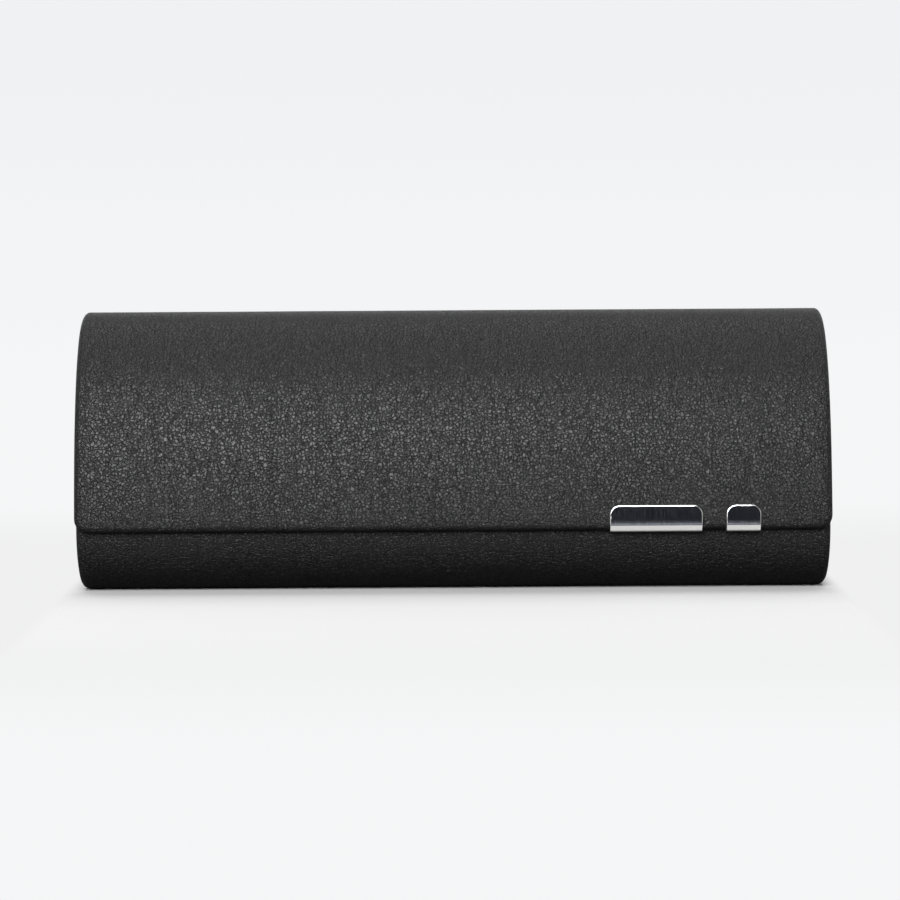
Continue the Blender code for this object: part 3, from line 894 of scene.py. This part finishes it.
# Each softbox: name, place, what it points at, width, height, watts
SOFTBOXES = (
    ("overhead", (0.0, 0.10, 1.10), (0.0, 0.0, 0.0), 1.3, 1.0, 13.0),
    ("front_key", (-0.13, -0.99, 0.475), (0.0, 0.0, 0.03), 0.62, 0.54, 31.5),
)

# The tones that only the camera sees, from the backdrop down to the floor near the object, whose darker tone
# is a painted shadow of the object
BACKDROP = (0.872, 0.880, 0.893)
HORIZON = (0.894, 0.903, 0.918)
FAR_FLOOR = (0.914, 0.919, 0.926)
NEAR_FLOOR_PAINTED_SHADOW = (0.868, 0.869, 0.870)

# The light tent, which every ray but the camera's sees
SIDES = (1.0, 1.0, 1.0)
UPPER = (0.32, 0.325, 0.34)
FRONT_DARK = (0.020, 0.021, 0.024)

# The floor. To every ray but the camera's it is FLOOR_UNSEEN, so that the base doesn't reflect a bright
# floor, with a strip of FLOOR before and behind the object. The front strip is what the clips' lower band
# reflects. This is a choice of light for the main view. FLOOR_UNSEEN = FLOOR gives the floor one colour for
# every ray, and only its fade into the backdrop is then for the camera alone.
FLOOR = (0.385, 0.385, 0.383)
FLOOR_UNSEEN = (0.06, 0.06, 0.06)
FLOOR_SIZE = 12.0
FLOOR_HALF = (0.079, 0.020)  # the object's footprint, from which the fade and the strips are measured
FLOOR_FADE = (200.0, 9.0)  # per metre along X and along Y
STRIP_AT = 0.0095
STRIP_EDGE = (0.003, 0.008)


def add_camera():
    data = bpy.data.cameras.new("camera")
    data.lens = CAMERA_LENS
    data.sensor_width = 36.0
    data.clip_start = 0.01
    data.clip_end = 50.0
    camera = bpy.data.objects.new("camera", data)
    bpy.context.scene.collection.objects.link(camera)
    tilt = math.radians(CAMERA_ELEVATION)
    away = Vector((0.0, -math.cos(tilt), math.sin(tilt)))
    camera.location = Vector(AIM) + CAMERA_DISTANCE * away
    facing = away.to_track_quat("Z", "Y").to_matrix().to_4x4()
    camera.rotation_euler = (facing @ Matrix.Rotation(-math.radians(CAMERA_ROLL), 4, "Z")).to_euler()
    bpy.context.scene.camera = camera


def add_softbox(name, place, aim, width, height, power):
    data = bpy.data.lights.new(name, "AREA")
    data.shape = "RECTANGLE"
    data.size = width
    data.size_y = height
    data.energy = power
    light = bpy.data.objects.new(name, data)
    bpy.context.scene.collection.objects.link(light)
    light.location = place
    light.rotation_euler = (Vector(place) - Vector(aim)).to_track_quat("Z", "Y").to_euler()


class WorldNodes(Nodes):
    """The same short ways, in a world's node tree."""

    def __init__(self, name):
        world = bpy.data.worlds.new(name)
        world.use_nodes = True
        bpy.context.scene.world = world
        self.tree = world.node_tree
        self.background = self.tree.nodes["Background"]


def seen_by_camera(nodes):
    """1 for a ray straight from the camera, and 0 for any other. Only the stage uses it."""
    return nodes.add("ShaderNodeLightPath").outputs["Is Camera Ray"]


def add_world():
    """A light tent: bright sides, and dark low down in front. The camera sees a plain backdrop instead."""
    nodes = WorldNodes("studio")
    x, y, z = nodes.axes(nodes.coordinates("Generated"))
    beside = nodes.ramp(nodes.math("ABSOLUTE", x), 0.40, 0.80)
    behind = nodes.ramp(y, 0.10, 0.60)
    low = nodes.ramp(z, 0.75, 0.30)
    walls = nodes.math("MULTIPLY", nodes.math("MAXIMUM", beside, behind), low)
    tone = nodes.mix(walls, (*UPPER, 1), (*SIDES, 1))
    in_front = nodes.math("MULTIPLY", nodes.ramp(y, -0.55, -0.90), nodes.ramp(z, 0.30, 0.14))
    tone = nodes.mix(in_front, tone, (*FRONT_DARK, 1))
    backdrop = nodes.mix(nodes.ramp(z, 0.0, 0.07), (*HORIZON, 1), (*BACKDROP, 1))
    nodes.put(nodes.mix(seen_by_camera(nodes), tone, backdrop), nodes.background.inputs["Color"])


def beyond(nodes, place, half):
    """How far a coordinate is outside plus or minus half, and 0 inside."""
    return nodes.math("MAXIMUM", nodes.math("SUBTRACT", nodes.math("ABSOLUTE", place), half), 0.0)


def add_floor():
    """A floor that the camera sees pale and fading into the backdrop, soon along X and slowly along Y, with a
    painted shadow near the object.
    """
    build = Builder()
    corners = [((x * FLOOR_SIZE, y * FLOOR_SIZE, 0.0), (x, y))
               for x, y in ((-1, -1), (1, -1), (1, 1), (-1, 1))]
    build.face(build.points(corners))
    floor = build.object("floor")
    nodes = Nodes("floor")
    x, y, _ = nodes.axes(nodes.coordinates("Object"))
    beside = beyond(nodes, x, FLOOR_HALF[0])
    along_y = beyond(nodes, y, FLOOR_HALF[1])
    scaled = nodes.add("ShaderNodeCombineXYZ", {
        0: nodes.math("MULTIPLY", beside, FLOOR_FADE[0]),
        1: nodes.math("MULTIPLY", along_y, FLOOR_FADE[1]),
    }).outputs[0]
    distance = nodes.add("ShaderNodeVectorMath", {0: scaled}, operation="LENGTH").outputs["Value"]
    fade = nodes.ramp(distance, 0.0, 1.0)
    seen = seen_by_camera(nodes)
    off_strip = nodes.math("ABSOLUTE", nodes.math("SUBTRACT", along_y, STRIP_AT))
    unseen = nodes.mix(nodes.ramp(off_strip, *STRIP_EDGE), (*FLOOR, 1), (*FLOOR_UNSEEN, 1))
    nodes.finish(Base_Color=nodes.mix(seen, unseen, (*FLOOR, 1)), Roughness=0.9, Specular_IOR_Level=0.1)
    tone = nodes.mix(nodes.ramp(along_y, 0.4, 4.0), (*FAR_FLOOR, 1), (*HORIZON, 1))
    # Near the object the tone is darker: a painted shadow of the object on the floor.
    tone = nodes.mix(nodes.ramp(along_y, 0.05, 0.20), (*NEAR_FLOOR_PAINTED_SHADOW, 1), tone)
    far = nodes.add("ShaderNodeEmission", {"Color": tone}).outputs[0]
    shown = nodes.math("MULTIPLY", fade, seen)
    faded = nodes.add("ShaderNodeMixShader", {0: shown, 1: nodes.shader.outputs[0], 2: far})
    nodes.put(faded.outputs[0], nodes.tree.nodes["Material Output"].inputs[0])
    floor.data.materials.append(nodes.material)


def main():
    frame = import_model()
    bpy.context.scene.view_settings.view_transform = "Standard"
    add_camera()
    add_world()
    add_floor()
    for softbox in SOFTBOXES:
        add_softbox(*softbox)
    flap = flap_line()
    base = base_line(flap)
    looks = {
        "leatherette": leatherette(),
        "microfibre": microfibre(),
        "foam": foam(),
        "cotton_tape": cotton_tape(),
        "clip_polished": clip_metal(),
        "clip_brushed": brushed_metal(clip_line(flap)[1]),
        "steel": steel(),
        "board": board(),
        "nickel": nickel(),
    }
    make_base_cover(base, looks)
    make_flap_cover(base, flap, looks)
    make_hinge(base, flap, looks)
    make_padding(base, looks)
    make_linings(base, flap, looks)
    make_ends(base, flap, looks)
    make_clips(flap, looks)
    finish_frame_pieces(frame, looks)


main()
